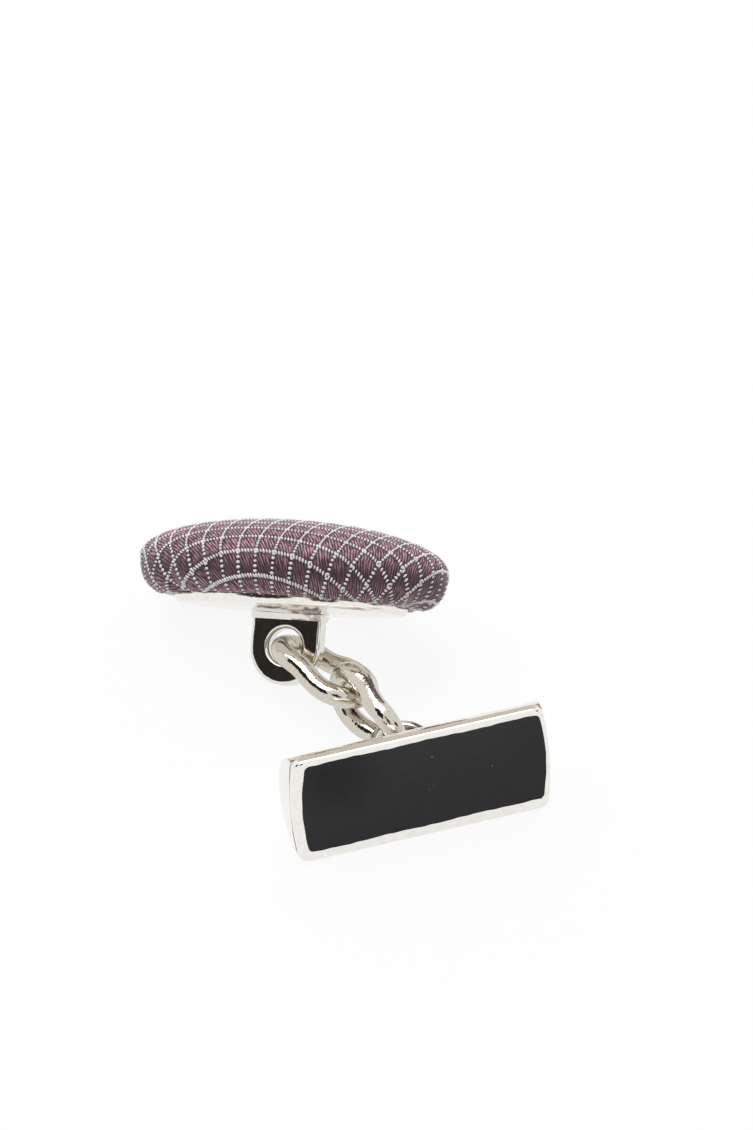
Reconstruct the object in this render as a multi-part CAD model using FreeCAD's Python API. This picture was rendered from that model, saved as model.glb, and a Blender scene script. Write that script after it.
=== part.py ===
import FreeCAD, Part
import math
import os

from FreeCAD import Matrix, Placement, Rotation, Vector

# Chain-link cufflink lying on a table: an oval head padded and covered in silk, two twisted
# wire links, and an enamelled bar that stands on one long edge. Millimetres, Z up, X to the
# right along the table and Y away from the viewer; the origin is under the middle of the whole.

# Head: oval, widest at its girth, with a crowned front and a rolled edge behind
head_length = 20.7
head_width = 13.6
crown_height = 2.8
roll_reach = 2.0
roll_depth = 2.38
cover_thickness = 0.4
wadding_crown = 0.9
wadding_edge = 0.3
former_thickness = 0.45
layer_gap = 0.05
hem_width = 1.2
hem_rise = 1.1

# Back plate: a shallow oval pan with a rounded edge, a slight crown and a spigot inside the hem
plate_length = 15.7
plate_thickness = 0.5
plate_edge_radius = 0.4
plate_crown = 0.33
spigot_rise = 1.0
spigot_wall = 0.4

# Lug on the back of the head
lug_radius = 2.4
lug_hole_radius = 1.15
lug_thickness = 1.15
lug_height = 4.65
lug_hole_drop = 2.1

# Eye on the back of the bar
eye_radius = 2.05
eye_hole_radius = 1.42
eye_thickness = 0.95
eye_height = 3.7
eye_hole_drop = 1.7

# Feet, tenons and softened edges of both
foot_height = 0.4
foot_border = 0.25
tenon_width = 2.0
tenon_thickness = 0.7
tenon_proud = 0.3
tenon_gap = 0.03
lug_edge_radius = 0.25

# Chain link: round wire bent to a long oval and twisted about its length
wire_diameter = 1.4
link_opening = 2.3
link_run = 2.79
link_twist_angle = 15.0

# Bar: rectangle with bowed ends, a tray in front and a rounded hollow back
bar_length = 17.25
bar_width = 8.0
bar_end_bow = 0.22
bar_corner_radius = 0.7
tray_depth = 0.6
seam_width = 0.1
seam_depth = 0.12
back_depth = 2.5
back_step = 0.3
back_thickness = 0.5
rim_width = 0.62
rim_edge_radius = 0.3
recess_depth = 0.35
recess_corner_radius = 0.5
enamel_gap = 0.03
enamel_set_back = 0.06

# How it lies: head tipped on its rim, bar leaning back, chain lying slack between them
head_yaw = -5.9
head_lean = 51.5
head_spin_angle = 17.0
bar_yaw = 17.0
bar_lean = 12.0
upper_link_heading = -42.2
lower_link_heading = -54.4
link_rise_angle = -0.41
upper_link_roll_angle = 12.0
lower_link_roll_angle = 12.0
upper_link_shift = 0.1
lower_link_shift = 0.15
lug_play = 0.15
eye_play = 0.2

ORIGIN = Vector(0, 0, 0)
X_AXIS = Vector(1, 0, 0)
Y_AXIS = Vector(0, 1, 0)
Z_AXIS = Vector(0, 0, 1)
RIGHT_ANGLE = 90

# Levels and radii that the pieces share
girth = head_length / 2
roll_centre = girth - roll_reach
hem_level = -roll_depth
hem_radius = roll_centre - hem_width
plate_top = hem_level - layer_gap
plate_bottom = plate_top - plate_thickness
lug_base = plate_bottom - plate_crown
eye_base = -(tray_depth + seam_width + back_depth)
bend_radius = (link_opening + wire_diameter) / 2


def turn(axis, degrees):
    return Placement(ORIGIN, Rotation(axis, degrees))


def shift(x, y, z):
    return Placement(Vector(x, y, z), Rotation())


def at(x, z):
    return Vector(x, 0, z)


def lines(*points):
    return [Part.LineSegment(start, end).toShape() for start, end in zip(points, points[1:])]


def quarter(centre_x, reach, rise):
    """Quarter ellipse in the XZ plane about a centre on the X axis; a negative rise hangs down."""
    whole = Part.makeCircle(1, ORIGIN, Vector(0, -1, 0), 0, 90)
    size = Matrix()
    size.scale(reach, 1, rise)
    arc = whole.transformGeometry(size)
    arc.translate(at(centre_x, 0))
    return [arc]


def oval_turned(edges):
    """Solid turned from a half section in the XZ plane, then narrowed to the head's oval."""
    section = Part.Face(Part.Wire(Part.__sortEdges__(edges)))
    narrow = Matrix()
    narrow.scale(1, head_width / head_length, 1)
    return section.revolve(ORIGIN, Z_AXIS, 360).transformGeometry(narrow)


def dome_section(outer_girth, outer_crown, outer_depth, thickness, lip_radius, lip_rise):
    """Half section of a dome that rolls in at its edge to a lip, of one thickness throughout."""
    inner_girth = outer_girth - thickness
    inner_crown = outer_crown - thickness
    inner_depth = outer_depth - thickness
    outside = quarter(0, outer_girth, outer_crown)
    outside += quarter(roll_centre, outer_girth - roll_centre, -outer_depth)
    inside = quarter(0, inner_girth, inner_crown)
    inside += quarter(roll_centre, inner_girth - roll_centre, -inner_depth)
    lip = lines(at(roll_centre, -outer_depth), at(lip_radius, -outer_depth),
                at(lip_radius, lip_rise - outer_depth),
                at(lip_radius + thickness, lip_rise - outer_depth),
                at(lip_radius + thickness, -inner_depth), at(roll_centre, -inner_depth))
    return outside + inside + lip + lines(at(0, inner_crown), at(0, outer_crown))


def silk_cover():
    return oval_turned(dome_section(girth, crown_height, roll_depth, cover_thickness,
                                    hem_radius, hem_rise))


def wadding():
    outer_girth = girth - cover_thickness - layer_gap
    outer_crown = crown_height - cover_thickness - layer_gap
    inner_girth = outer_girth - wadding_edge
    inner_crown = outer_crown - wadding_crown
    return oval_turned(quarter(0, outer_girth, outer_crown) + quarter(0, inner_girth, inner_crown)
                       + lines(at(inner_girth, 0), at(outer_girth, 0))
                       + lines(at(0, inner_crown), at(0, outer_crown)))


def former():
    set_in = cover_thickness + 2 * layer_gap
    return oval_turned(dome_section(girth - set_in - wadding_edge,
                                    crown_height - set_in - wadding_crown,
                                    roll_depth - cover_thickness - layer_gap, former_thickness,
                                    hem_radius + cover_thickness + layer_gap, 2 * former_thickness))


def crown_arc(reach, middle_level, edge_level):
    """Shallow arc from the axis out to a reach, level in the middle."""
    rise = edge_level - middle_level
    radius = (reach ** 2 + rise ** 2) / (2 * rise)
    half_way = middle_level + radius - math.sqrt(radius ** 2 - reach ** 2 / 4)
    return [Part.Arc(at(0, middle_level), at(reach / 2, half_way), at(reach, edge_level)).toShape()]


def back_plate():
    half = plate_length / 2
    spigot_radius = hem_radius - layer_gap
    spigot_bore = spigot_radius - spigot_wall
    flat_reach = half - plate_edge_radius
    corner = Part.makeCircle(plate_edge_radius, at(flat_reach, plate_bottom + plate_edge_radius),
                             Vector(0, -1, 0), -90, 0)
    edges = crown_arc(flat_reach, lug_base, plate_bottom) + [corner]
    edges += lines(at(half, plate_bottom + plate_edge_radius), at(half, plate_top),
                   at(spigot_radius, plate_top), at(spigot_radius, hem_level + spigot_rise),
                   at(spigot_bore, hem_level + spigot_rise), at(spigot_bore, plate_top))
    edges += crown_arc(spigot_bore, lug_base + plate_thickness, plate_top)
    edges += lines(at(0, lug_base + plate_thickness), at(0, lug_base))
    return oval_turned(edges).cut(tenon_slot(lug_base))


def tenon_slot(level):
    """Block that cuts the slot for a tenon through the wall above a level."""
    width = tenon_width + 2 * tenon_gap
    thickness = tenon_thickness + 2 * tenon_gap
    depth = 2 * (plate_thickness + back_thickness)
    return Part.makeBox(width, thickness, depth, Vector(-width / 2, -thickness / 2, level - depth / 2))


def lug(radius, hole_radius, thickness, height, hole_drop, base_level, wall):
    """Upright D-shaped plate hanging from a base level, with a round hole, a foot and a tenon."""
    straight = height - radius
    left = Vector(-radius, -thickness / 2, -straight)
    right = Vector(radius, -thickness / 2, -straight)
    lift = Vector(0, 0, straight)
    tip = Vector(0, -thickness / 2, -height)
    sides = lines(right, right + lift, left + lift, left) + [Part.Arc(left, tip, right).toShape()]
    plate = Part.Face(Part.Wire(sides)).extrude(Vector(0, thickness, 0))
    hole = Part.makeCylinder(hole_radius, thickness, Vector(0, -thickness / 2, -hole_drop), Y_AXIS)
    plate = plate.cut(hole)
    rims = [edge for edge in plate.Edges
            if abs(edge.CenterOfMass.y) > thickness / 2 - layer_gap and edge.CenterOfMass.z < 0]
    plate = plate.makeFillet(lug_edge_radius, rims)
    spread = thickness / 2 + foot_border
    flare = lines(Vector(-radius, -spread, 0), Vector(-radius, spread, 0),
                  Vector(-radius, thickness / 2, -foot_height),
                  Vector(-radius, -thickness / 2, -foot_height),
                  Vector(-radius, -spread, 0))
    foot = Part.Face(Part.Wire(flare)).extrude(Vector(2 * radius, 0, 0))
    tenon = Part.makeBox(tenon_width, tenon_thickness, wall + tenon_proud,
                         Vector(-tenon_width / 2, -tenon_thickness / 2, 0))
    whole = plate.fuse([foot, tenon]).removeSplitter()
    whole.translate(Vector(0, 0, base_level))
    return whole


def head_lug():
    return lug(lug_radius, lug_hole_radius, lug_thickness, lug_height, lug_hole_drop, lug_base,
               plate_thickness)


def bar_eye():
    return lug(eye_radius, eye_hole_radius, eye_thickness, eye_height, eye_hole_drop, eye_base,
               back_thickness)


def bent_wire(start, axis_point, axis, degrees):
    """Round wire that starts square to X at a point and is bent about an axis."""
    end = Part.Face(Part.Wire(Part.makeCircle(wire_diameter / 2, start, X_AXIS)))
    return end.revolve(axis_point, axis, degrees)


def chain_link():
    """Link along X: a half-round bend at each end, the far one twisted, and two S-shaped runs."""
    near = bent_wire(Vector(0, bend_radius, 0), ORIGIN, Z_AXIS, 180)
    far = near.copy()
    far.Placement = shift(link_run, 0, 0) * turn(X_AXIS, link_twist_angle) * turn(Z_AXIS, 180)
    half_twist = link_twist_angle / 2
    offset = 2 * bend_radius * math.sin(math.radians(half_twist))
    run_radius = (link_run ** 2 + offset ** 2) / (4 * offset)
    run_bend = math.degrees(math.asin(link_run / 2 / run_radius))
    first = bent_wire(ORIGIN, Vector(0, 0, run_radius), Y_AXIS, -run_bend)
    second = first.copy()
    second.Placement = shift(link_run, 0, offset) * turn(Y_AXIS, 180)
    run = first.fuse(second)
    runs = []
    for side in (0, 180):
        placed = run.copy()
        placed.Placement = (turn(X_AXIS, side) * shift(0, bend_radius, 0)
                            * turn(X_AXIS, half_twist))
        runs.append(placed)
    return near.fuse([far] + runs).removeSplitter()


def bar_block(inset, top, bottom, corner_radius):
    """Slab of the bar's outline, set in by an even border, between two levels."""
    half_length = bar_length / 2 - inset
    half_width = bar_width / 2 - inset
    straight = half_length - bar_end_bow
    corners = [Vector(x, y, bottom) for x, y in ((-straight, -half_width), (straight, -half_width),
                                                 (straight, half_width), (-straight, half_width))]
    edges = lines(corners[0], corners[1]) + lines(corners[2], corners[3])
    edges.append(Part.Arc(corners[1], Vector(half_length, 0, bottom), corners[2]).toShape())
    edges.append(Part.Arc(corners[3], Vector(-half_length, 0, bottom), corners[0]).toShape())
    slab = Part.Face(Part.Wire(Part.__sortEdges__(edges))).extrude(Vector(0, 0, top - bottom))
    uprights = [edge for edge in slab.Edges if abs(edge.tangentAt(edge.FirstParameter).z) > 0.5]
    return slab.makeFillet(corner_radius, uprights)


def bar_tray():
    slab = bar_block(0, 0, -tray_depth, bar_corner_radius)
    front_edges = [edge for edge in slab.Edges if edge.BoundBox.ZMin > -layer_gap]
    slab = slab.makeFillet(rim_edge_radius, front_edges)
    return slab.cut(bar_block(rim_width, 0, -recess_depth, recess_corner_radius))


def round_back(inset, level):
    """Half-elliptic bar along X below a level, trimmed to the bar's outline."""
    half_width = bar_width / 2 - back_step - inset
    depth = back_depth - inset
    arc = Part.makeCircle(1, ORIGIN, X_AXIS, 180, 360)
    size = Matrix()
    size.scale(1, half_width, depth)
    arc = arc.transformGeometry(size)
    flat_side = lines(Vector(0, half_width, 0), Vector(0, -half_width, 0))
    bar = Part.Face(Part.Wire([arc] + flat_side)).extrude(Vector(bar_length, 0, 0))
    bar.translate(Vector(-bar_length / 2, 0, level))
    return bar.common(bar_block(inset, level, level - depth, bar_corner_radius - inset / 2))


def bar_back():
    level = -(tray_depth + seam_width)
    neck = bar_block(back_step + seam_depth, -tray_depth, level, bar_corner_radius - seam_depth)
    hollow_radius = bar_corner_radius - back_thickness / 2
    hollow = bar_block(back_step + back_thickness, -tray_depth, level, hollow_radius)
    shell = round_back(0, level).cut(round_back(back_thickness, level))
    return shell.fuse(neck.cut(hollow)).removeSplitter().cut(tenon_slot(eye_base))


def enamel_inlay():
    return bar_block(rim_width + enamel_gap, -enamel_set_back, -recess_depth,
                     recess_corner_radius - enamel_gap)


# Places: the hole of the head's lug is the start of the chain, and the bar lies at its end
head_turn = turn(Z_AXIS, head_yaw) * turn(X_AXIS, -head_lean) * turn(Z_AXIS, -head_spin_angle)
head_place = head_turn * shift(0, 0, lug_hole_drop - lug_base)
lug_hole_axis = head_turn.multVec(Y_AXIS)


def link_turn(heading, hole_axis, roll_angle):
    """Turn of a link along its heading, with one bend lying along the axis of the hole it passes."""
    line = (turn(Z_AXIS, heading) * turn(Y_AXIS, -link_rise_angle)).multVec(X_AXIS)
    across = hole_axis - line * hole_axis.dot(line)
    level = Placement(ORIGIN, Rotation(line, across, line.cross(across), "XYZ"))
    return level * turn(X_AXIS, roll_angle)


upper_link_turn = link_turn(upper_link_heading, lug_hole_axis, upper_link_roll_angle)
upper_link_place = upper_link_turn * shift(bend_radius - lug_play, upper_link_shift, 0)
link_joint = upper_link_place.multVec(Vector(link_run, 0, 0))

bar_turn = turn(Z_AXIS, bar_yaw) * turn(X_AXIS, RIGHT_ANGLE - bar_lean)
eye_hole_axis = bar_turn.multVec(Y_AXIS)
lower_link_turn = link_turn(lower_link_heading, eye_hole_axis, lower_link_roll_angle - link_twist_angle)
lower_link_place = Placement(link_joint, Rotation()) * lower_link_turn * shift(bend_radius, 0, 0)
eye_hole = lower_link_place.multVec(Vector(link_run + bend_radius + eye_play, 0, 0))
bar_place = (Placement(eye_hole, Rotation()) * bar_turn
             * shift(0, lower_link_shift, eye_hole_drop - eye_base))

pieces = {
    "silk_cover": (silk_cover(), head_place),
    "wadding": (wadding(), head_place),
    "former": (former(), head_place),
    "back_plate": (back_plate(), head_place),
    "head_lug": (head_lug(), head_place),
    "upper_chain_link": (chain_link(), upper_link_place),
    "lower_chain_link": (chain_link(), lower_link_place),
    "bar_tray": (bar_tray(), bar_place),
    "bar_back": (bar_back(), bar_place),
    "enamel_inlay": (enamel_inlay(), bar_place),
    "bar_eye": (bar_eye(), bar_place),
}
placed = {}
for node, (shape, place) in pieces.items():
    shape.Placement = place * shape.Placement
    placed[node] = shape

# The whole is set down with the middle of its box over the origin
box = Part.makeCompound(list(placed.values())).optimalBoundingBox(False)
to_origin = Vector(-box.Center.x, -box.Center.y, -box.ZMin)

os.makedirs("parts", exist_ok=True)
for node, shape in placed.items():
    shape.translate(to_origin)
    shape.exportStep(f"parts/{node}.step")
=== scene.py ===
import math

import bmesh
import bpy
import numpy as np
from mathutils import Matrix, Vector


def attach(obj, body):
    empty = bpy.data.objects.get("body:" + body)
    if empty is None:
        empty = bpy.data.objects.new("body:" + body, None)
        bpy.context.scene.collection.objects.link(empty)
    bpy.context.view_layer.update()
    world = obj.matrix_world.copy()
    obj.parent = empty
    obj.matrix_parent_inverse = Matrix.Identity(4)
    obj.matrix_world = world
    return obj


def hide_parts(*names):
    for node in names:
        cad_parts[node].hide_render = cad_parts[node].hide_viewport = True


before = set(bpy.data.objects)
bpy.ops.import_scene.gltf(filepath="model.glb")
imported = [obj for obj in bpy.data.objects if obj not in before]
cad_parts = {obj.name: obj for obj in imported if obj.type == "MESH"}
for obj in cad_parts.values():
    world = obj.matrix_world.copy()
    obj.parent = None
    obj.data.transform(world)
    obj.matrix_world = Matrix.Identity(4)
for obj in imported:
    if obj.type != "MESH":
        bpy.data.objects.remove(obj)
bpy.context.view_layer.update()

# Former: a thin oval dome stamped from steel sheet, the hard core of the head.
# The wadding, the silk and the back plate close it in, so its surface stays as it was pressed.


def linear(hex_colour):
    """Linear colour with full alpha from an sRGB hex value."""
    parts = [int(hex_colour[i:i + 2], 16) / 255 for i in (1, 3, 5)]
    return tuple(c / 12.92 if c <= 0.04045 else ((c + 0.055) / 1.055) ** 2.4
                 for c in parts) + (1.0,)


def add_node(tree, kind, sockets=None, **settings):
    """Add a node, set its properties, and set or link its input sockets."""
    made = tree.nodes.new(kind)
    for name, value in settings.items():
        setattr(made, name, value)
    for socket, value in (sockets or {}).items():
        if isinstance(value, bpy.types.NodeSocket):
            tree.links.new(value, made.inputs[socket])
        else:
            made.inputs[socket].default_value = value
    return made


def blank_material(name):
    """Material with an empty node tree."""
    material = bpy.data.materials.new(name)
    material.use_nodes = True
    material.node_tree.nodes.clear()
    return material


def dress(node, material):
    """Give a CAD node its finished material."""
    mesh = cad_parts[node].data
    mesh.materials.clear()
    mesh.materials.append(material)


# Pressed steel sheet: dull grey with a little unevenness from the press
pressed_steel = blank_material("pressed_steel")
tree = pressed_steel.node_tree
steel_spot_mm = 0.8
place = add_node(tree, "ShaderNodeTexCoord")
spots = add_node(tree, "ShaderNodeTexNoise", {
    "Vector": place.outputs["Object"], "Scale": 1000 / steel_spot_mm, "Detail": 4.0})
tone = add_node(tree, "ShaderNodeMix", {
    "Factor": spots.outputs["Fac"], "A": linear("#8f9092"), "B": linear("#a9aaab")},
    data_type="RGBA")
rough = add_node(tree, "ShaderNodeMapRange", {
    "Value": spots.outputs["Fac"], "To Min": 0.35, "To Max": 0.5})
steel = add_node(tree, "ShaderNodeBsdfPrincipled", {
    "Base Color": tone.outputs["Result"], "Metallic": 1.0, "Roughness": rough.outputs["Result"]})
add_node(tree, "ShaderNodeOutputMaterial", {"Surface": steel.outputs["BSDF"]})
dress("former", pressed_steel)

# Wadding: a thin pad of cotton fibre laid over the former, thick at the crown and thin at the
# edge. It is soft and a little lumpy, and the silk drawn over it holds it in place.

head_turn = (Matrix.Rotation(math.radians(-5.9), 4, "Z")
             @ Matrix.Rotation(math.radians(-51.5), 4, "X")
             @ Matrix.Rotation(math.radians(-17.0), 4, "Z"))
head_place = Matrix.Translation((-0.00326323, 0.00747328, 0.00636475)) @ head_turn
# Sizes of the head in millimetres, in its own frame
head_half_length = 10.35
head_half_width = 6.8
narrowing = head_half_width / head_half_length
crown_rise = 2.8


def new_object(name, data):
    """Object that stands in the scene."""
    made = bpy.data.objects.new(name, data)
    bpy.context.scene.collection.objects.link(made)
    return made


def skin(name, rings, closed_ends=True):
    """Piece through rings of points in the head's frame, the first and last on the axis."""
    count = len(rings[1])
    points = [rings[0][0]] + [p for ring in rings[1:-1] for p in ring]
    faces = [(0, 1 + k, 1 + (k + 1) % count) for k in range(count)]
    for level in range(len(rings) - 3):
        low, high = 1 + level * count, 1 + (level + 1) * count
        faces += [(low + k, high + k, high + (k + 1) % count, low + (k + 1) % count)
                  for k in range(count)]
    if closed_ends:
        points.append(rings[-1][0])
        last = 1 + (len(rings) - 3) * count
        faces += [(last + (k + 1) % count, last + k, len(points) - 1) for k in range(count)]
    mesh = bpy.data.meshes.new(name)
    mesh.from_pydata([head_place @ (Vector(p) / 1000) for p in points], [], faces)
    mesh.polygons.foreach_set("use_smooth", [True] * len(mesh.polygons))
    return new_object(name, mesh)


pad_set_in = 0.45
pad_edge = 0.3
pad_crown = 0.9
pad_lump = 0.03
pad_lumps_round = 7
pad_lumps_down = 5
pad_points_round = 192
pad_outer_rings = 28
pad_inner_rings = 22
pad_outer = (head_half_length - pad_set_in, crown_rise - pad_set_in)
pad_inner = (pad_outer[0] - pad_edge, pad_outer[1] - pad_crown)
pad_round = np.linspace(0, 2 * math.pi, pad_points_round, endpoint=False)
pad_rings = []
for (reach, rise), falls in ((pad_outer, np.linspace(0, 90, pad_outer_rings)),
                             (pad_inner, np.linspace(90, 0, pad_inner_rings))):
    for fall in np.radians(falls):
        lump = (pad_lump * math.sin(fall) * np.sin(pad_lumps_round * pad_round)
                * np.sin(pad_lumps_down * fall) - pad_lump)
        out = (reach + lump) * math.sin(fall)
        up = (rise + lump) * math.cos(fall)
        pad_rings.append(np.stack([out * np.cos(pad_round),
                                   narrowing * out * np.sin(pad_round), up], 1))
wadding_pad = skin("wadding_pad", pad_rings)

# Cotton wadding: matt off-white with fine tangled fibres
cotton_wadding = blank_material("cotton_wadding")
tree = cotton_wadding.node_tree
fibre_mm = 0.15
fibre_depth_mm = 0.05
place = add_node(tree, "ShaderNodeTexCoord")
fibres = add_node(tree, "ShaderNodeTexNoise", {
    "Vector": place.outputs["Object"], "Scale": 1000 / fibre_mm, "Detail": 6.0,
    "Distortion": 1.5})
tone = add_node(tree, "ShaderNodeMix", {
    "Factor": fibres.outputs["Fac"], "A": linear("#cfcac0"), "B": linear("#f2efe8")},
    data_type="RGBA")
raised = add_node(tree, "ShaderNodeBump", {
    "Height": fibres.outputs["Fac"], "Distance": fibre_depth_mm / 1000, "Strength": 0.6})
cotton = add_node(tree, "ShaderNodeBsdfPrincipled", {
    "Base Color": tone.outputs["Result"], "Roughness": 0.95, "Normal": raised.outputs["Normal"]})
add_node(tree, "ShaderNodeOutputMaterial", {"Surface": cotton.outputs["BSDF"]})
wadding_pad.data.materials.append(cotton_wadding)
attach(wadding_pad, "head")
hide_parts("wadding")

# Silk cover: an oval cut of woven silk drawn tight over the wadding, round the rim and in under
# the back plate, which grips its hem. Spare cloth gathers in small puckers where the oval turns
# sharply.

roll_centre = 8.35
roll_reach = 2.0
roll_depth = 2.38
hem_reach = 7.2
hem_rise = 1.05
# How much longer the cloth becomes as it is drawn down over the roll
roll_stretch = 1.48
# Side of the square of flat cloth that the weave is mapped on
cloth_span = 40.0
cloth_thickness_mm = 0.3
gather_height = 0.012
gather_height_at_ends = 0.045
gather_bias = 0.8
# Gathers: how many round the head, where they start, and their share of the height
gather_waves = ((13, 0.6, 1.0), (22, 2.1, 0.6))
# Folds: heading and width in degrees, and height
hem_folds = ((205.0, 9.0, 0.22), (217.0, 2.5, -0.25), (5.0, 7.0, 0.18))
# Lengths past the girth over which gathers and folds rise, and where and how fast they end
swell_run = 1.6
swell_end = 3.5
swell_fade = 0.7
# Painted shade on the rolled edge: its darkest length past the girth, and how far it spreads
roll_shade_at = 0.9
roll_shade_spread = 0.7
turn_steps = 60
tuck_steps = 15
hem_steps = 12

quarter_turn = np.linspace(0, math.pi / 2, turn_steps + 1)
roll_out = np.concatenate([roll_centre + roll_reach * np.cos(quarter_turn[1:]),
                           np.linspace(roll_centre, hem_reach, tuck_steps + 1)[1:],
                           np.full(hem_steps, hem_reach)])
roll_up = np.concatenate([-roll_depth * np.sin(quarter_turn[1:]),
                          np.full(tuck_steps, -roll_depth),
                          np.linspace(-roll_depth, hem_rise - roll_depth, hem_steps + 1)[1:]])


def cover_sections(heading):
    """Lines of the cover from crown to hem, their running lengths, and the way out of the oval."""
    turned = np.arctan2(np.sin(heading) / narrowing, np.cos(heading))
    rim = np.stack([head_half_length * np.cos(turned), head_half_width * np.sin(turned)], 1)
    way_out = np.stack([np.cos(turned) / head_half_length, np.sin(turned) / head_half_width], 1)
    way_out /= np.linalg.norm(way_out, axis=1, keepdims=True)
    dome = np.empty((len(heading), len(quarter_turn), 3))
    dome[:, :, :2] = rim[:, None, :] * np.sin(quarter_turn)[None, :, None]
    dome[:, :, 2] = crown_rise * np.cos(quarter_turn)
    steep = way_out[:, 0] ** 2 + (way_out[:, 1] / narrowing) ** 2
    slope = rim[:, 0] * way_out[:, 0] + rim[:, 1] * way_out[:, 1] / narrowing ** 2
    inside = head_half_length ** 2 - roll_out ** 2
    root = np.sqrt(slope[:, None] ** 2 - steep[:, None] * inside)
    set_in = (slope[:, None] - root) / steep[:, None]
    roll = np.empty((len(heading), len(roll_out), 3))
    roll[:, :, :2] = rim[:, None, :] - set_in[:, :, None] * way_out[:, None, :]
    roll[:, :, 2] = roll_up
    lines = np.concatenate([dome, roll], 1)
    steps = np.linalg.norm(np.diff(lines, axis=1), axis=2)
    lengths = np.concatenate([np.zeros((len(heading), 1)), np.cumsum(steps, 1)], 1)
    return lines, lengths, way_out


def pucker(heading, past_girth):
    """Height of the gathers on the rolled edge, strongest at the two ends of the oval."""
    ends = np.abs(np.cos(heading)) ** 2
    waves = sum(size * np.sin(count * heading + phase) for count, phase, size in gather_waves)
    height = (gather_height + gather_height_at_ends * ends) * (waves + gather_bias)
    for middle, width, fold in hem_folds:
        turned = np.degrees(np.angle(np.exp(1j * (heading - math.radians(middle)))))
        height = height + fold * np.exp(-(turned / width) ** 2)
    swell = (np.clip(past_girth / swell_run, 0, 1) ** 1.5
             * np.clip((swell_end - past_girth) / swell_fade, 0, 1))
    return swell * height


def cover_points(along, heading):
    """Points of the cover by length along its line from the crown, and heading."""
    lines, lengths, way_out = cover_sections(heading)
    each = np.arange(len(along))
    nearby = 0.05

    def reached(distance):
        step = np.clip((lengths <= distance[:, None]).sum(1) - 1, 0, lengths.shape[1] - 2)
        share = (distance - lengths[each, step]) / (lengths[each, step + 1] - lengths[each, step])
        return lines[each, step] + share[:, None] * (lines[each, step + 1] - lines[each, step])

    onward = reached(along + nearby) - reached(along - nearby)
    lean = np.stack([-onward[:, 2], (onward[:, :2] * way_out).sum(1)], 1)
    lean /= np.maximum(np.linalg.norm(lean, axis=1, keepdims=True), 1e-9)
    lean *= pucker(heading, along - lengths[:, turn_steps])[:, None]
    points = reached(along)
    points[:, :2] += lean[:, :1] * way_out
    points[:, 2] += lean[:, 1]
    return points


# The flat cloth: the crown's lines laid out straight, and the roll set square to the girth
heading_count = 1440
headings = np.linspace(0, 2 * math.pi, heading_count, endpoint=False)
_, full_lengths, _ = cover_sections(headings)
girth_lengths = full_lengths[:, turn_steps]
hem_lengths = full_lengths[:, -1]
cloth_girth = girth_lengths[:, None] * np.stack([np.cos(headings), np.sin(headings)], 1)
girth_way = (np.roll(cloth_girth, -1, 0) - np.roll(cloth_girth, 1, 0)) / (2 * headings[1])
cloth_way_out = np.stack([girth_way[:, 1], -girth_way[:, 0]], 1)
cloth_way_out /= np.linalg.norm(cloth_way_out, axis=1, keepdims=True)

cover_points_round = 240
cover_rows = 45
cover_shares = np.linspace(0, 1, cover_rows)
picked = slice(None, None, heading_count // cover_points_round)
girth_picked = girth_lengths[picked]
pasts = [(share - 1) * girth_picked for share in cover_shares]
cover_flat = [share * cloth_girth[picked] for share in cover_shares]
for share in cover_shares[1:]:
    past = share * (hem_lengths[picked] - girth_picked)
    pasts.append(past)
    cover_flat.append(cloth_girth[picked]
                      + past[:, None] / roll_stretch * cloth_way_out[picked])
cover_rings = [cover_points(girth_picked + past, headings[picked]) for past in pasts]
# Share of painted shade on the rolled edge at each point of the cloth
cover_roll_shade = [np.exp(-((past - roll_shade_at) / roll_shade_spread) ** 2) for past in pasts]
silk_cloth = skin("silk_cloth", cover_rings + [cover_rings[-1]], closed_ends=False)
flat_points = np.concatenate([cover_flat[0][:1]] + cover_flat[1:])
cloth_map = silk_cloth.data.uv_layers.new(name="cloth")
for loop, uv in zip(silk_cloth.data.loops, cloth_map.data):
    uv.uv = flat_points[loop.vertex_index] / cloth_span + 0.5
painted_roll_shade = silk_cloth.data.attributes.new("painted_roll_shade", "FLOAT", "POINT")
painted_roll_shade.data.foreach_set("value", np.concatenate([cover_roll_shade[0][:1]] + cover_roll_shade[1:]))
thickness = silk_cloth.modifiers.new("cloth_thickness", "SOLIDIFY")
thickness.thickness = cloth_thickness_mm / 1000
thickness.offset = -1.0

# Mauve silk twill: oblique floats, with painted sheen along them and painted shade in the furrows
# between them, painted shadow beside the white threads, and painted shade where the cloth turns
# over the rim
silk_twill = blank_material("mauve_silk_twill")
tree = silk_twill.node_tree
float_pitch_mm = 0.19
float_length_mm = 0.9
float_depth_mm = 0.06
float_lean = 38.0
pattern_turn = 0.4
row_cell = 1.19
row_phase = -0.354
column_cell = 1.409
column_phase = 0.102
# Painted shadow beside the white threads: distances from a thread line where it fades and where it
# ends
thread_shadow_from_mm = 0.12
thread_shadow_to_mm = 0.28
painted_shade_colour = linear("#2c161d")
flat = add_node(tree, "ShaderNodeUVMap", uv_map="cloth")
in_mm = add_node(tree, "ShaderNodeMapping", {
    "Vector": flat.outputs["UV"], "Scale": (cloth_span,) * 3,
    "Location": (-cloth_span / 2, -cloth_span / 2, 0)})
across = add_node(tree, "ShaderNodeMapping", {
    "Vector": in_mm.outputs["Vector"],
    "Rotation": (0, 0, -math.radians(pattern_turn + float_lean))})
ribs = add_node(tree, "ShaderNodeTexWave", {
    "Vector": across.outputs["Vector"], "Scale": math.pi / 10 / float_pitch_mm,
    "Distortion": 2.5, "Detail": 2.0, "Detail Scale": 2.0})
drawn = add_node(tree, "ShaderNodeMapping", {
    "Vector": across.outputs["Vector"], "Scale": (1 / float_pitch_mm, 1 / float_length_mm, 1)})
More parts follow.
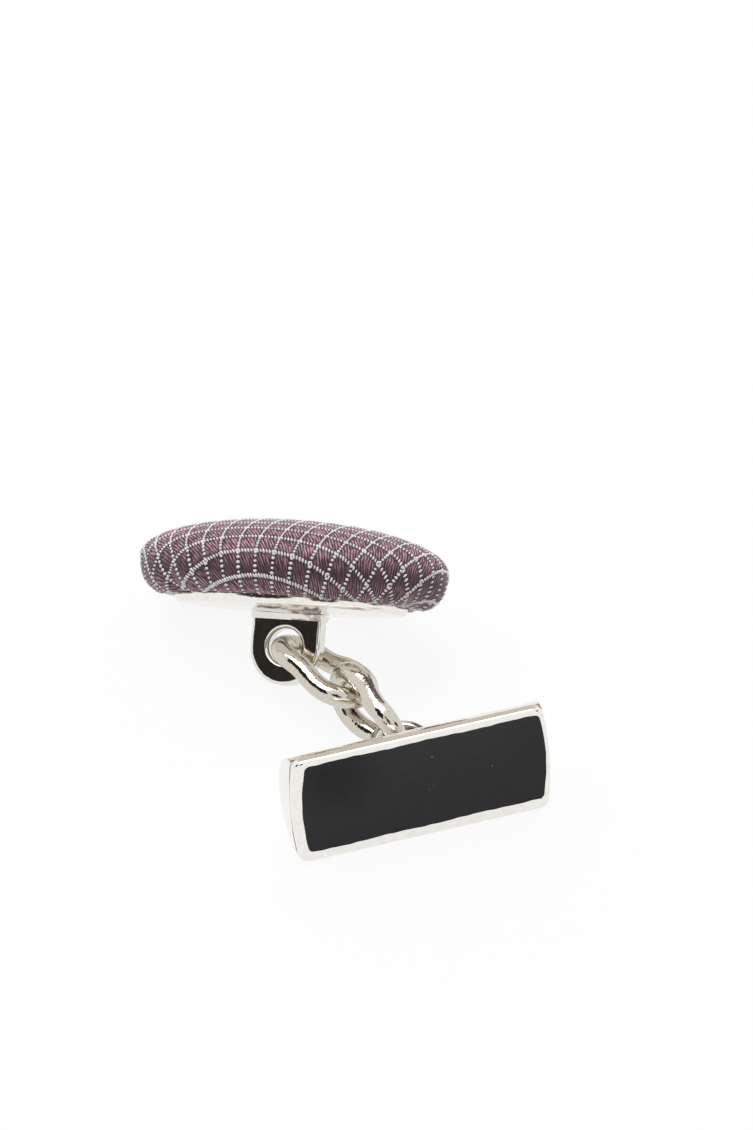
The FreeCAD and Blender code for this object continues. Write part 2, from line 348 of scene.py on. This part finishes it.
floats = add_node(tree, "ShaderNodeTexNoise", {
    "Vector": drawn.outputs["Vector"], "Scale": 1.6, "Detail": 3.0})
weave = add_node(tree, "ShaderNodeMix", {
    "Factor": 0.8, "A": ribs.outputs["Fac"], "B": floats.outputs["Fac"]})
# Colour ramp on the weave: painted shade in the furrows between floats, painted sheen on the
# floats
tone = add_node(tree, "ShaderNodeValToRGB", {"Fac": weave.outputs["Result"]})
dark, bright = tone.color_ramp.elements
dark.position, dark.color = 0.43, linear("#14090d")
bright.position, bright.color = 0.63, linear("#cb9bac")
tone.color_ramp.elements.new(0.51).color = linear("#83566a")
squared = add_node(tree, "ShaderNodeMapping", {
    "Vector": in_mm.outputs["Vector"], "Rotation": (0, 0, -math.radians(pattern_turn))})
square = add_node(tree, "ShaderNodeSeparateXYZ", {"Vector": squared.outputs["Vector"]})
from_lines = []
for side, cell, phase in (("Y", row_cell, row_phase), ("X", -column_cell, column_phase)):
    counted = add_node(tree, "ShaderNodeMath", {
        0: square.outputs[side], 1: 1 / cell, 2: -phase}, operation="MULTIPLY_ADD")
    strayed = add_node(tree, "ShaderNodeMath", {
        0: counted.outputs["Value"], 1: 0.5}, operation="PINGPONG")
    from_lines.append(add_node(tree, "ShaderNodeMath", {
        0: strayed.outputs["Value"], 1: abs(cell)}, operation="MULTIPLY"))
from_thread = add_node(tree, "ShaderNodeMath", {
    0: from_lines[0].outputs["Value"], 1: from_lines[1].outputs["Value"]}, operation="MINIMUM")
# Painted shadow on the ground beside the white threads, in the painted shade colour
thread_shadow = add_node(tree, "ShaderNodeMapRange", {
    "Value": from_thread.outputs["Value"], "From Min": thread_shadow_from_mm,
    "From Max": thread_shadow_to_mm, "To Min": 0.75, "To Max": 0.0})
ground = add_node(tree, "ShaderNodeMix", {
    "Factor": thread_shadow.outputs["Result"], "A": tone.outputs["Color"], "B": painted_shade_colour},
    data_type="RGBA")
# Painted shade band all round the roll, darkest a little past the girth
roll_shade_here = add_node(tree, "ShaderNodeAttribute", attribute_name="painted_roll_shade")
roll_shade_share = add_node(tree, "ShaderNodeMath", {
    0: roll_shade_here.outputs["Fac"], 1: 0.8}, operation="MULTIPLY")
roll_shaded = add_node(tree, "ShaderNodeMix", {
    "Factor": roll_shade_share.outputs["Value"], "A": ground.outputs["Result"], "B": painted_shade_colour},
    data_type="RGBA")
raised = add_node(tree, "ShaderNodeBump", {
    "Height": weave.outputs["Result"], "Distance": float_depth_mm / 1000, "Strength": 0.8})
silk = add_node(tree, "ShaderNodeBsdfPrincipled", {
    "Base Color": roll_shaded.outputs["Result"], "Roughness": 0.5, "Sheen Weight": 0.15,
    "Sheen Roughness": 0.4, "Sheen Tint": linear("#d8b9c6"), "Normal": raised.outputs["Normal"]})
add_node(tree, "ShaderNodeOutputMaterial", {"Surface": silk.outputs["BSDF"]})
silk_cloth.data.materials.append(silk_twill)
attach(silk_cloth, "head")
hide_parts("silk_cover")

# Check threads: white silk wefts and warps brought to the face in single floats, which make the
# check. They are woven in with the cloth, and each float stands a little proud of the ground.

lines_each_way = 14
# How far short of the hem the threads stop, and a small step that finds their directions
thread_stop = 0.7
thread_nearby = 0.04
thread_height_mm = 0.14
# Lengths past the girth where a float has its crown width, its own width and its roll width
width_places = (-2.0, 0.6, 2.5)
check_lines = {
    "check_rows": dict(first_turn=0.0, cell=row_cell, phase=row_phase, pitch=0.235,
                       crown_width=0.9, roll_width=1.2, across_mm=0.31, along_mm=0.14, lean=24.0),
    "check_columns": dict(first_turn=90.0, cell=column_cell, phase=column_phase, pitch=0.22,
                          crown_width=0.52, roll_width=0.95, across_mm=0.26, along_mm=0.2,
                          lean=0.0)}


def round_head(heading, values):
    """Values known at the even headings, read at other headings."""
    return np.interp(heading, headings, values, period=2 * math.pi)


def lifted(flat):
    """Length along the cover's line and heading of points on the flat cloth."""
    heading = np.mod(np.arctan2(flat[:, 1], flat[:, 0]), 2 * math.pi)
    along = np.hypot(flat[:, 0], flat[:, 1])
    past = along > round_head(heading, girth_lengths)
    rolled = flat[past]
    nearest = np.argmin(((rolled[:, None, :] - cloth_girth[None, ::4]) ** 2).sum(2), 1) * 4
    way = girth_way[nearest]
    shift = ((rolled - cloth_girth[nearest]) * way).sum(1) / (way ** 2).sum(1)
    foot = cloth_girth[nearest] + shift[:, None] * way
    heading[past] = np.mod(headings[nearest] + shift, 2 * math.pi)
    along[past] = (round_head(heading[past], girth_lengths)
                   + roll_stretch * np.linalg.norm(rolled - foot, axis=1))
    return along, heading


def thread_points(name, line):
    """Bare points along one family of the check's lines, with directions and widths."""
    turn = math.radians(pattern_turn + line["first_turn"])
    line_way = np.array([math.cos(turn), math.sin(turn)])
    next_way = np.array([-math.sin(turn), math.cos(turn)])
    steps = np.arange(-cloth_span / 2, cloth_span / 2, line["pitch"])
    rows = np.arange(-lines_each_way, lines_each_way + 1) + line["phase"]
    flat = (steps[None, :, None] * line_way
            + line["cell"] * rows[:, None, None] * next_way).reshape(-1, 2)
    flat = flat[np.hypot(flat[:, 0], flat[:, 1]) < hem_lengths.max()]
    along, heading = lifted(flat)
    kept = along < round_head(heading, hem_lengths - hem_rise - thread_stop)
    flat, along, heading = flat[kept], along[kept], heading[kept]
    back, ahead, before, after = [
        cover_points(*lifted(flat + thread_nearby * way))
        for way in (-line_way, line_way, -next_way, next_way)]
    forward = ahead - back
    outward = np.cross(forward, after - before)
    spin = np.array(head_place.to_3x3())
    mesh = bpy.data.meshes.new(name)
    middle = cover_points(along, heading)
    mesh.from_pydata([head_place @ (Vector(p) / 1000) for p in middle], [], [])
    for attribute, ways in (("line_way", forward), ("out_way", outward)):
        ways = ways / np.maximum(np.linalg.norm(ways, axis=1, keepdims=True), 1e-9)
        layer = mesh.attributes.new(attribute, "FLOAT_VECTOR", "POINT")
        layer.data.foreach_set("vector", (ways @ spin.T).astype(np.float32).ravel())
    past = along - round_head(heading, girth_lengths)
    widths = np.interp(past, width_places, (line["crown_width"], 1.0, line["roll_width"]))
    layer = mesh.attributes.new("width", "FLOAT", "POINT")
    layer.data.foreach_set("value", widths.astype(np.float32))
    return new_object(name, mesh)


thread_floats = bpy.data.node_groups.new("Thread floats", "GeometryNodeTree")
sockets = thread_floats.interface
sockets.new_socket("Points", in_out="INPUT", socket_type="NodeSocketGeometry")
float_inputs = {
    label: sockets.new_socket(label, in_out="INPUT", socket_type="NodeSocket" + kind)
    for label, kind in (("Across Line", "Float"), ("Along Line", "Float"), ("Height", "Float"),
                        ("Lean", "Float"), ("Thread", "Material"))}
sockets.new_socket("Floats", in_out="OUTPUT", socket_type="NodeSocketGeometry")
given = add_node(thread_floats, "NodeGroupInput")
bead = add_node(thread_floats, "GeometryNodeMeshUVSphere", {
    "Segments": 8, "Rings": 5, "Radius": 0.5})
bead_size = add_node(thread_floats, "ShaderNodeCombineXYZ", {
    "X": given.outputs["Along Line"], "Y": given.outputs["Across Line"],
    "Z": given.outputs["Height"]})
bead_turn = add_node(thread_floats, "ShaderNodeCombineXYZ", {"Z": given.outputs["Lean"]})
one_float = add_node(thread_floats, "GeometryNodeTransform", {
    "Geometry": bead.outputs["Mesh"], "Scale": bead_size.outputs["Vector"],
    "Rotation": bead_turn.outputs["Vector"]})
out_way = add_node(thread_floats, "GeometryNodeInputNamedAttribute", {"Name": "out_way"},
                   data_type="FLOAT_VECTOR")
line_way = add_node(thread_floats, "GeometryNodeInputNamedAttribute", {"Name": "line_way"},
                    data_type="FLOAT_VECTOR")
width = add_node(thread_floats, "GeometryNodeInputNamedAttribute", {"Name": "width"},
                 data_type="FLOAT")
stand = add_node(thread_floats, "FunctionNodeAlignRotationToVector", {
    "Vector": out_way.outputs["Attribute"]}, axis="Z")
face = add_node(thread_floats, "FunctionNodeAlignRotationToVector", {
    "Rotation": stand.outputs["Rotation"], "Vector": line_way.outputs["Attribute"]},
    axis="X", pivot_axis="Z")
uneven = add_node(thread_floats, "FunctionNodeRandomValue", {
    "Min": 0.85, "Max": 1.15, "Seed": 7}, data_type="FLOAT")
uneven_out = [socket for socket in uneven.outputs if socket.enabled][0]
broad = add_node(thread_floats, "ShaderNodeMath", {
    0: uneven_out, 1: width.outputs["Attribute"]}, operation="MULTIPLY")
spread = add_node(thread_floats, "ShaderNodeCombineXYZ", {
    "X": uneven_out, "Y": broad.outputs["Value"], "Z": uneven_out})
laid = add_node(thread_floats, "GeometryNodeInstanceOnPoints", {
    "Points": given.outputs["Points"], "Instance": one_float.outputs["Geometry"],
    "Rotation": face.outputs["Rotation"], "Scale": spread.outputs["Vector"]})
real = add_node(thread_floats, "GeometryNodeRealizeInstances", {
    "Geometry": laid.outputs["Instances"]})
smooth = add_node(thread_floats, "GeometryNodeSetShadeSmooth", {
    "Geometry": real.outputs["Geometry"]})
finished = add_node(thread_floats, "GeometryNodeSetMaterial", {
    "Geometry": smooth.outputs["Geometry"], "Material": given.outputs["Thread"]})
add_node(thread_floats, "NodeGroupOutput", {"Floats": finished.outputs["Geometry"]})

# White silk thread: clean off-white with a soft lustre and fine fibres along it
white_silk = blank_material("white_silk_thread")
tree = white_silk.node_tree
strand_mm = 0.05
place = add_node(tree, "ShaderNodeTexCoord")
strands = add_node(tree, "ShaderNodeTexNoise", {
    "Vector": place.outputs["Object"], "Scale": 1000 / strand_mm, "Detail": 2.0})
tone = add_node(tree, "ShaderNodeMix", {
    "Factor": strands.outputs["Fac"], "A": linear("#e6e2e0"), "B": linear("#fdfcfb")},
    data_type="RGBA")
thread = add_node(tree, "ShaderNodeBsdfPrincipled", {
    "Base Color": tone.outputs["Result"], "Roughness": 0.45, "Sheen Weight": 0.2})
add_node(tree, "ShaderNodeOutputMaterial", {"Surface": thread.outputs["BSDF"]})

for name, line in check_lines.items():
    threads = thread_points(name, line)
    grown = threads.modifiers.new("floats", "NODES")
    grown.node_group = thread_floats
    for label, value in (("Across Line", line["across_mm"] / 1000),
                         ("Along Line", line["along_mm"] / 1000),
                         ("Height", thread_height_mm / 1000),
                         ("Lean", math.radians(line["lean"])), ("Thread", white_silk)):
        grown[float_inputs[label].identifier] = value
    bpy.context.view_layer.update()
    seen = threads.evaluated_get(bpy.context.evaluated_depsgraph_get())
    plain = bpy.data.meshes.new_from_object(seen)
    threads.modifiers.remove(grown)
    threads.data = plain
    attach(threads, "head")

# Back plate: an oval pan spun from brass sheet, polished and rhodium plated, pressed into the back
# of the head over the hem of the silk. Its slight crown and rounded edge carry broad reflections.


def plated_brass(name, tone_low, tone_high, roughness, ripple_mm, ripple_depth_mm):
    """Polished rhodium plate: bright, a little warm, with fine polishing ripple and faint haze."""
    material = blank_material(name)
    tree = material.node_tree
    place = add_node(tree, "ShaderNodeTexCoord")
    ripple = add_node(tree, "ShaderNodeTexNoise", {
        "Vector": place.outputs["Object"], "Scale": 1000 / ripple_mm, "Detail": 2.0})
    haze = add_node(tree, "ShaderNodeTexNoise", {
        "Vector": place.outputs["Object"], "Scale": 3000 / ripple_mm, "Detail": 4.0})
    tone = add_node(tree, "ShaderNodeMix", {
        "Factor": haze.outputs["Fac"], "A": linear(tone_low), "B": linear(tone_high)},
        data_type="RGBA")
    rough = add_node(tree, "ShaderNodeMapRange", {
        "Value": haze.outputs["Fac"], "To Min": roughness * 0.6, "To Max": roughness * 1.4})
    raised = add_node(tree, "ShaderNodeBump", {
        "Height": ripple.outputs["Fac"], "Strength": 0.5, "Distance": ripple_depth_mm / 1000})
    metal = add_node(tree, "ShaderNodeBsdfPrincipled", {
        "Base Color": tone.outputs["Result"], "Metallic": 1.0,
        "Roughness": rough.outputs["Result"], "Normal": raised.outputs["Normal"]})
    add_node(tree, "ShaderNodeOutputMaterial", {"Surface": metal.outputs["BSDF"]})
    return material


dress("back_plate", plated_brass("rhodium_plated_pan", "#e4dfd8", "#f7f4ef", roughness=0.12,
                                 ripple_mm=1.6, ripple_depth_mm=0.012))

# Head lug: a D-shaped plate with a round hole, sawn from brass, tenoned through the back plate and
# soldered at its foot, then polished and plated with it.

dress("head_lug", plated_brass("rhodium_plated_lug", "#d6d2cb", "#eeebe6", roughness=0.12,
                               ripple_mm=1.8, ripple_depth_mm=0.3))

# Chain links: round brass wire bent into long ovals, closed with solder, twisted and plated.
# The polish is by tumbling, so small dents stay in the wire.

# Painted shade: the wire gets a darker, warmer copy of the plating than the back plate and the bar
shaded_wire_finish = plated_brass("rhodium_plated_wire", "#bdb5a9", "#e0dad0", roughness=0.1,
                           ripple_mm=0.4, ripple_depth_mm=0.06)
for link in ("upper_chain_link", "lower_chain_link"):
    dress(link, shaded_wire_finish)

# Bar: a shallow tray with a narrow rim, soldered at a fine seam to a hollow back, both pressed in
# brass, polished and plated together. The plating is worn through to the metal at one corner.

bar_yaw = 17.0
bar_lean = 12.0
bar_place = (Matrix.Translation((0.00497158, -0.0096489, 0.00405347))
             @ Matrix.Rotation(math.radians(bar_yaw), 4, "Z")
             @ Matrix.Rotation(math.radians(90.0 - bar_lean), 4, "X"))
# Sizes of the bar in millimetres, in its own frame
bar_half_length = 8.625
bar_half_width = 4.0
bar_end_bow = 0.22
tray_depth = 0.6
tray_corner = 0.7
seam_width = 0.1
seam_inner = 0.42
seam_groove = 0.04
rim_round = 0.3
rim_steps = 8
rim_corner_ease = 0.1
rim_width = 0.62
well_corner = 0.38
well_depth = 0.35
well_lip = 0.02
# Shifts of the well's corners, lower then upper, at its left end and then at its right
well_corner_shifts =(((-0.05, 0.15), (0.12, 0.25)), ((0.3, 0.3), (0.3, 0.2)))
side_steps = 90
corner_steps = 10
end_steps = 30


def bar_loop(inset, corner, level):
    """Closed loop on the bar's outline, set in by an even border, in the bar's frame."""
    length, width = bar_half_length - inset, bar_half_width - inset
    side = length - bar_end_bow - corner
    turn = np.linspace(0, math.pi / 2, corner_steps + 1)[1:]
    ups = np.linspace(corner - width, width - corner, end_steps + 1)[1:]
    bow = bar_end_bow * (1 - (ups / (width - corner)) ** 2)
    half = np.concatenate([
        np.stack([np.linspace(-side, side, side_steps + 1)[1:], np.full(side_steps, -width)], 1),
        np.stack([side + corner * np.sin(turn), corner - width - corner * np.cos(turn)], 1),
        np.stack([side + corner + bow, ups], 1),
        np.stack([side + corner * np.cos(turn), width - corner + corner * np.sin(turn)], 1)])
    flat = np.concatenate([half, -half])
    return np.concatenate([flat, np.full((len(flat), 1), level)], 1)


def well_loop(inset, level):
    """Loop of the tray's well, which hand filing has left a little off centre and uneven."""
    loop = bar_loop(rim_width + inset, well_corner, level)
    u = loop[:, 0] / (bar_half_length - rim_width)
    v = loop[:, 1] / (bar_half_width - rim_width)
    (low_left, high_left), (low_right, high_right) = np.array(well_corner_shifts)
    move = (np.outer((1 - u) * (1 - v), low_left) + np.outer((1 - u) * (1 + v), high_left)
            + np.outer((1 + u) * (1 - v), low_right) + np.outer((1 + u) * (1 + v), high_right)) / 4
    end_sway = 0.03 * np.sin(2.6 * v + 0.7)
    end_chatter = 0.012 * np.sin(11 * v)
    side_sway = 0.03 * np.sin(9 * u + 1.0)
    side_chatter = 0.014 * np.sin(31 * u) + 0.01 * np.sin(53 * u)
    move[:, 0] += u * end_sway + u ** 4 * end_chatter
    move[:, 1] += v * side_sway + v ** 4 * side_chatter
    loop[:, :2] += move
    return loop


def loops_to_piece(name, loops, node):
    """Closed piece through loops of equal count, both ends filled, in place of a CAD node."""
    count = len(loops[0])
    last = (len(loops) - 1) * count
    faces = [tuple(range(count)), tuple(range(last, last + count))]
    for low in range(0, last, count):
        faces += [(low + k, low + (k + 1) % count, low + count + (k + 1) % count, low + count + k)
                  for k in range(count)]
    mesh = bpy.data.meshes.new(name)
    mesh.from_pydata([bar_place @ (Vector(p) / 1000) for p in np.concatenate(loops)], [], faces)
    shape = bmesh.new()
    shape.from_mesh(mesh)
    bmesh.ops.recalc_face_normals(shape, faces=shape.faces)
    shape.to_mesh(mesh)
    shape.free()
    mesh.polygons.foreach_set("use_smooth", [True] * len(mesh.polygons))
    mesh.set_sharp_from_angle(angle=math.radians(35))
    made = new_object(name, mesh)
    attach(made, "bar")
    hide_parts(node)
    return made


# Plated bar: bright rhodium with one warm spot of bare metal at the upper right corner
bar_finish = plated_brass("rhodium_plated_bar", "#e5e1db", "#f8f6f2", roughness=0.08,
                          ripple_mm=1.5, ripple_depth_mm=0.005)
tree = bar_finish.node_tree
plated = tree.nodes["Principled BSDF"]
worn_at = bar_place @ Vector((0.00842, 0.0038, -0.00075))
worn_radius = 0.0005
place = add_node(tree, "ShaderNodeTexCoord")
from_worn = add_node(tree, "ShaderNodeVectorMath", {
    0: place.outputs["Object"], 1: worn_at}, operation="DISTANCE")
worn_edge = add_node(tree, "ShaderNodeMapRange", {
    "Value": from_worn.outputs["Value"], "From Min": 0.5 * worn_radius, "From Max": worn_radius,
    "To Min": 1.0, "To Max": 0.0})
worn = add_node(tree, "ShaderNodeMix", {
    "Factor": worn_edge.outputs["Result"],
    "A": plated.inputs["Base Color"].links[0].from_socket, "B": linear("#dba07c")},
    data_type="RGBA")
tree.links.new(worn.outputs["Result"], plated.inputs["Base Color"])
dress("bar_back", bar_finish)

tray_loops = [bar_loop(inset, tray_corner, level) for inset, level in (
    (seam_inner, -tray_depth), (seam_inner, -tray_depth - seam_width),
    (seam_groove, -tray_depth - seam_width), (seam_groove, -tray_depth), (0.0, -tray_depth))]
for bend in np.linspace(0, math.pi / 2, rim_steps):
    turned_in = 1 - math.cos(bend)
    tray_loops.append(bar_loop(rim_round * turned_in, tray_corner - rim_corner_ease * turned_in,
                               rim_round * (math.sin(bend) - 1)))
tray_loops += [well_loop(-well_lip, 0.0), well_loop(0.0, -well_lip), well_loop(0.0, -well_depth)]
filed_tray = loops_to_piece("filed_tray", tray_loops, "bar_tray")
filed_tray.data.materials.append(bar_finish)

# Enamel: black resin enamel poured into the bar's tray, left to harden, and ground back until it
# lies nearly flush with the rim that holds it.

enamel_gap = 0.02
enamel_bevel = 0.06
enamel_edge_drop = 0.05
enamel_face_drop = 0.06
enamel_loops = [well_loop(enamel_gap, -well_depth), well_loop(enamel_gap, -enamel_edge_drop),
                well_loop(enamel_bevel, -enamel_face_drop)]
poured_enamel = loops_to_piece("poured_enamel", enamel_loops, "enamel_inlay")

# Black resin enamel: a satin gloss with faint grinding marks, a few pale specks of dust, one
# cluster of fine nicks near the middle, and a painted darker reflection towards the upper left
# corner
black_enamel = blank_material("black_resin_enamel")
tree = black_enamel.node_tree
grind_mm = 0.6
grind_depth_mm = 0.01
speck_mm = 1.6
speck_share = 0.03
nick_mm = 0.12
nicks_reach = 0.0006
nicks_at = bar_place @ Vector((0.00066, -0.00034, -0.00006))
# Reach and middle of the painted darker reflection
dark_reflection_reach = 0.0045
dark_reflection_at = bar_place @ Vector((-0.0056, 0.0026, -0.00006))
place = add_node(tree, "ShaderNodeTexCoord")
grind = add_node(tree, "ShaderNodeTexNoise", {
    "Vector": place.outputs["Object"], "Scale": 1000 / grind_mm, "Detail": 5.0})
specks = add_node(tree, "ShaderNodeTexVoronoi", {
    "Vector": place.outputs["Object"], "Scale": 1000 / speck_mm, "Randomness": 1.0})
dust = add_node(tree, "ShaderNodeMath", {
    0: specks.outputs["Distance"], 1: speck_share}, operation="LESS_THAN")
ground = add_node(tree, "ShaderNodeMix", {
    "Factor": grind.outputs["Fac"], "A": linear("#0b0b0e"), "B": linear("#1d1e24")},
    data_type="RGBA")
dusty = add_node(tree, "ShaderNodeMix", {
    "Factor": dust.outputs["Value"], "A": ground.outputs["Result"], "B": linear("#8f9092")},
    data_type="RGBA")
from_nicks = add_node(tree, "ShaderNodeVectorMath", {
    0: place.outputs["Object"], 1: nicks_at}, operation="DISTANCE")
nicks_near = add_node(tree, "ShaderNodeMapRange", {
    "Value": from_nicks.outputs["Value"], "From Min": 0.0, "From Max": nicks_reach,
    "To Min": 1.0, "To Max": 0.0})
scratches = add_node(tree, "ShaderNodeTexNoise", {
    "Vector": place.outputs["Object"], "Scale": 1000 / nick_mm, "Detail": 2.0})
scratch_edge = add_node(tree, "ShaderNodeMapRange", {
    "Value": scratches.outputs["Fac"], "From Min": 0.6, "From Max": 0.68})
nicks = add_node(tree, "ShaderNodeMath", {
    0: nicks_near.outputs["Result"], 1: scratch_edge.outputs["Result"]}, operation="MULTIPLY")
nicked = add_node(tree, "ShaderNodeMix", {
    "Factor": nicks.outputs["Value"], "A": dusty.outputs["Result"], "B": linear("#7d7f84")},
    data_type="RGBA")
# Painted darker reflection: the reflection level is lowered towards a spot at the upper left
from_dark_reflection = add_node(tree, "ShaderNodeVectorMath", {
    0: place.outputs["Object"], 1: dark_reflection_at}, operation="DISTANCE")
painted_reflection_level = add_node(tree, "ShaderNodeMapRange", {
    "Value": from_dark_reflection.outputs["Value"], "From Min": 0.0, "From Max": dark_reflection_reach,
    "To Min": 0.26, "To Max": 0.44}, interpolation_type="SMOOTHSTEP")
rough = add_node(tree, "ShaderNodeMapRange", {
    "Value": grind.outputs["Fac"], "To Min": 0.2, "To Max": 0.34})
raised = add_node(tree, "ShaderNodeBump", {
    "Height": grind.outputs["Fac"], "Strength": 0.25, "Distance": grind_depth_mm / 1000})
enamel = add_node(tree, "ShaderNodeBsdfPrincipled", {
    "Base Color": nicked.outputs["Result"], "Specular IOR Level": painted_reflection_level.outputs["Result"],
    "Roughness": rough.outputs["Result"], "IOR": 1.4, "Normal": raised.outputs["Normal"]})
add_node(tree, "ShaderNodeOutputMaterial", {"Surface": enamel.outputs["BSDF"]})
poured_enamel.data.materials.append(black_enamel)

# Bar eye: a smaller D-shaped plate with a round hole, tenoned and soldered into the back of the
# bar, polished and plated like the lug.

dress("bar_eye", plated_brass("rhodium_plated_eye", "#cfcbc4", "#e9e6e0", roughness=0.08,
                              ripple_mm=1.0, ripple_depth_mm=0.008))

# Table, soft light and camera: a plain white table under a large diffuser, seen from above the
# bar. Dark cards round the lens and at both sides, and a sand-coloured one behind, give the
# polished faces something to mirror.

floor_half = 1.5
floor_drop = 0.00002
floor_mesh = bpy.data.meshes.new("table")
floor_mesh.from_pydata([(x * floor_half, y * floor_half, -floor_drop)
                        for x, y in ((-1, -1), (1, -1), (1, 1), (-1, 1))], [], [(0, 1, 2, 3)])
floor = new_object("table", floor_mesh)

# White table: plain board with a faint fleck, lit so strongly that it looks almost pure white
white_table = blank_material("white_table")
tree = white_table.node_tree
fleck_mm = 2.0
lit_share = 0.9
place = add_node(tree, "ShaderNodeTexCoord")
fleck = add_node(tree, "ShaderNodeTexNoise", {
    "Vector": place.outputs["Object"], "Scale": 1000 / fleck_mm})
tone = add_node(tree, "ShaderNodeMix", {
    "Factor": fleck.outputs["Fac"], "A": linear("#fafafa"), "B": linear("#ffffff")},
    data_type="RGBA")
board = add_node(tree, "ShaderNodeBsdfDiffuse", {"Color": tone.outputs["Result"]})
lit_board = add_node(tree, "ShaderNodeEmission", {"Color": linear("#ffffff"), "Strength": 1.0})
ray = add_node(tree, "ShaderNodeLightPath")
seen_or_mirrored = add_node(tree, "ShaderNodeMath", {
    0: ray.outputs["Is Camera Ray"], 1: ray.outputs["Is Glossy Ray"]}, operation="MAXIMUM")
backlit = add_node(tree, "ShaderNodeMath", {
    0: seen_or_mirrored.outputs["Value"], 1: lit_share}, operation="MULTIPLY")
table_top = add_node(tree, "ShaderNodeMixShader", {
    0: backlit.outputs["Value"], 1: board.outputs["BSDF"], 2: lit_board.outputs["Emission"]})
add_node(tree, "ShaderNodeOutputMaterial", {"Surface": table_top.outputs["Shader"]})
floor_mesh.materials.append(white_table)

# Studio: an even white room that grows dimmer towards the front
sky = bpy.data.worlds.new("studio")
bpy.context.scene.world = sky
sky.use_nodes = True
tree = sky.node_tree
tree.nodes.clear()
ray = add_node(tree, "ShaderNodeLightPath")
seen_or_mirrored = add_node(tree, "ShaderNodeMath", {
    0: ray.outputs["Is Camera Ray"], 1: ray.outputs["Is Glossy Ray"]}, operation="MAXIMUM")
seen_at_all = add_node(tree, "ShaderNodeMath", {
    0: seen_or_mirrored.outputs["Value"], 1: ray.outputs["Is Transmission Ray"]},
    operation="MAXIMUM")
place = add_node(tree, "ShaderNodeTexCoord")
from_front = add_node(tree, "ShaderNodeVectorMath", {
    0: place.outputs["Generated"], 1: (0.0, -0.95, 0.3)}, operation="DOT_PRODUCT")
room = add_node(tree, "ShaderNodeMapRange", {
    "Value": from_front.outputs["Value"], "From Min": -0.2, "From Max": 0.9,
    "To Min": 0.8, "To Max": 0.15})
level = add_node(tree, "ShaderNodeMapRange", {
    "Value": seen_at_all.outputs["Value"], "To Min": room.outputs["Result"], "To Max": 1.0})
glow = add_node(tree, "ShaderNodeBackground", {
    "Color": linear("#ffffff"), "Strength": level.outputs["Result"]})
add_node(tree, "ShaderNodeOutputWorld", {"Surface": glow.outputs["Background"]})

lamp_at = Vector((-0.12, 0.12, 0.5))
lamp_data = bpy.data.lights.new("diffuser", "AREA")
lamp_data.shape = "RECTANGLE"
lamp_data.size = 0.5
lamp_data.size_y = 0.35
lamp_data.energy = 1.6
lamp = new_object("diffuser", lamp_data)
lamp.matrix_world = (Matrix.Translation(lamp_at)
                     @ (-lamp_at).to_track_quat("-Z", "Y").to_matrix().to_4x4())

aim = Vector((0.00204, 0.00722, 0.00653))
camera_rise = math.radians(48.0)
camera_distance = 1.2
tall_view = 0.0729
sensor_mm = 36.0
towards_camera = Vector((0, -math.cos(camera_rise), math.sin(camera_rise)))
camera_data = bpy.data.cameras.new("camera")
camera_data.sensor_width = sensor_mm
camera_data.lens = sensor_mm * camera_distance / tall_view
camera_data.clip_start = 0.01
camera_data.clip_end = 10.0
camera = new_object("camera", camera_data)
camera.matrix_world = (Matrix.Translation(aim + towards_camera * camera_distance)
                       @ (-towards_camera).to_track_quat("-Z", "Y").to_matrix().to_4x4())
bpy.context.scene.camera = camera


def card_stock(name, tone_low, tone_high):
    """Matt card with a soft nap, seen only in the polished metal."""
    material = blank_material(name)
    tree = material.node_tree
    nap_mm = 30.0
    place = add_node(tree, "ShaderNodeTexCoord")
    nap = add_node(tree, "ShaderNodeTexNoise", {
        "Vector": place.outputs["Object"], "Scale": 1000 / nap_mm})
    tone = add_node(tree, "ShaderNodeMix", {
        "Factor": nap.outputs["Fac"], "A": linear(tone_low), "B": linear(tone_high)},
        data_type="RGBA")
    matt = add_node(tree, "ShaderNodeEmission", {
        "Color": tone.outputs["Result"], "Strength": 1.0})
    add_node(tree, "ShaderNodeOutputMaterial", {"Surface": matt.outputs["Emission"]})
    return material


black_card = card_stock("black_card", "#141312", "#3a3531")
sand_card = card_stock("sand_card", "#cbc0b0", "#e2dacf")
card_round = np.linspace(0, 2 * math.pi, 48, endpoint=False)
for name, way, distance, radius, stock in (
        ("lens_card", towards_camera, 0.36, 0.08, black_card),
        ("side_card", Vector((-0.656, -0.379, 0.651)), 0.45, 0.15, black_card),
        ("right_card", Vector((0.82, -0.25, 0.5)), 0.45, 0.09, black_card),
        ("back_card", Vector((-0.072, 0.8, 0.5)), 0.55, 0.3, sand_card)):
    card_mesh = bpy.data.meshes.new(name)
    card_mesh.from_pydata([(radius * math.cos(angle), radius * math.sin(angle), 0.0)
                           for angle in card_round], [], [tuple(range(len(card_round)))])
    card_mesh.transform(Matrix.Translation(aim + way.normalized() * distance)
                        @ way.to_track_quat("Z", "Y").to_matrix().to_4x4())
    card_mesh.materials.append(stock)
    card = new_object(name, card_mesh)
    card.visible_camera = False
    card.visible_diffuse = False
    card.visible_shadow = False

bpy.context.scene.view_settings.view_transform = "Standard"
